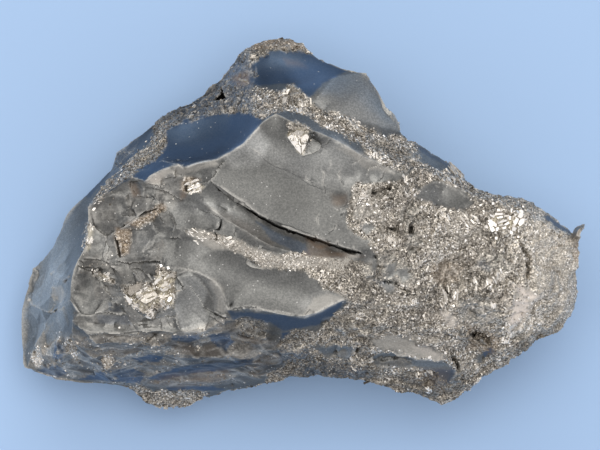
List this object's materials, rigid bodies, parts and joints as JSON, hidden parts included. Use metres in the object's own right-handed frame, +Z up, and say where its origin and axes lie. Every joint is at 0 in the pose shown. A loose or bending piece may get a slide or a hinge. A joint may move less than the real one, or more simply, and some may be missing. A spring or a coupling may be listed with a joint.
{
  "type": "psilomelane specimen",
  "caption": "Hand specimen of dark submetallic manganese ore with glassy shell-shaped breaks, granular ore and a long furrow, resting on a flat break",
  "frame": {"origin": "centre of the area round which the flat resting break lies, on the surface that the stone stands on", "axes": "+X runs from the glassy west end to the granular east end, +Y to the knob, +Z up out of the resting break"},
  "size_m": [0.1016, 0.0671, 0.0405],
  "materials": {
    "manganese_ore": "submetallic, satin on glassy breaks and glittering on granular ore"
  },
  "bodies": {
    "root": {"psilomelane_specimen": "manganese_ore"}
  },
  "joints": []
}
